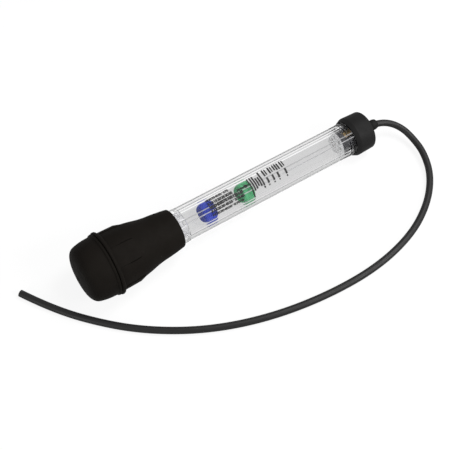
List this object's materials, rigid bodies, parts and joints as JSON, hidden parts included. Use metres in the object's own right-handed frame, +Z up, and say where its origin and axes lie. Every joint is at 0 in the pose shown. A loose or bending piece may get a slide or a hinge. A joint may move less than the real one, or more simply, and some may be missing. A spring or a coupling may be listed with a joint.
{
  "type": "diesel exhaust fluid tester",
  "caption": "Clear faceted barrel with two sliding floats, a rubber squeeze bulb on one end, and a capped end with a loose suction hose.",
  "frame": {"origin": "on the bench, under the middle of the tester's box measured without its hose", "axes": "+X along the tester towards its hose, +Z up; the tester lies on its bulb and cap, so its own axis drops 2.3 degrees towards the cap"},
  "size_m": [0.3929, 0.1534, 0.0585],
  "materials": {
    "bulb_rubber": "matt moulded",
    "clear_plastic": "clear, polished",
    "white_plastic": "translucent, smooth",
    "blue_plastic": "smooth",
    "green_plastic": "smooth",
    "ballast_steel": "bright",
    "black_plastic": "satin",
    "fitting_brass": "turned",
    "seal_rubber": "matt",
    "hose_rubber": "satin extruded"
  },
  "bodies": {
    "tester": {"barrel": "clear_plastic", "float_stop": "white_plastic", "inlet_cage": "black_plastic", "hose_fitting": "fitting_brass", "fitting_washer": "seal_rubber", "cap_gasket": "seal_rubber", "end_cap": "black_plastic", "hose_collar": "black_plastic", "inlet_hose": "hose_rubber"},
    "blue_float": {"blue_float_shell": "blue_plastic", "blue_float_lid": "blue_plastic", "blue_float_ballast": "ballast_steel"},
    "green_float": {"green_float_shell": "green_plastic", "green_float_lid": "green_plastic", "green_float_ballast": "ballast_steel"},
    "bulb": {"squeeze_bulb": "bulb_rubber"}
  },
  "joints": [
    {"name": "blue_float_slide", "type": "slide", "parent": "tester", "child": "blue_float", "axis": [0.9992, 0, -0.0398], "range_m": [-0.0183, 0.0132]},
    {"name": "green_float_slide", "type": "slide", "parent": "tester", "child": "green_float", "axis": [0.9992, 0, -0.0398], "range_m": [-0.0132, 0.09585]},
    {"name": "bulb_pull_off", "type": "slide", "parent": "tester", "child": "bulb", "axis": [-0.9992, 0, 0.0398], "range_m": [0, 0.018]}
  ]
}
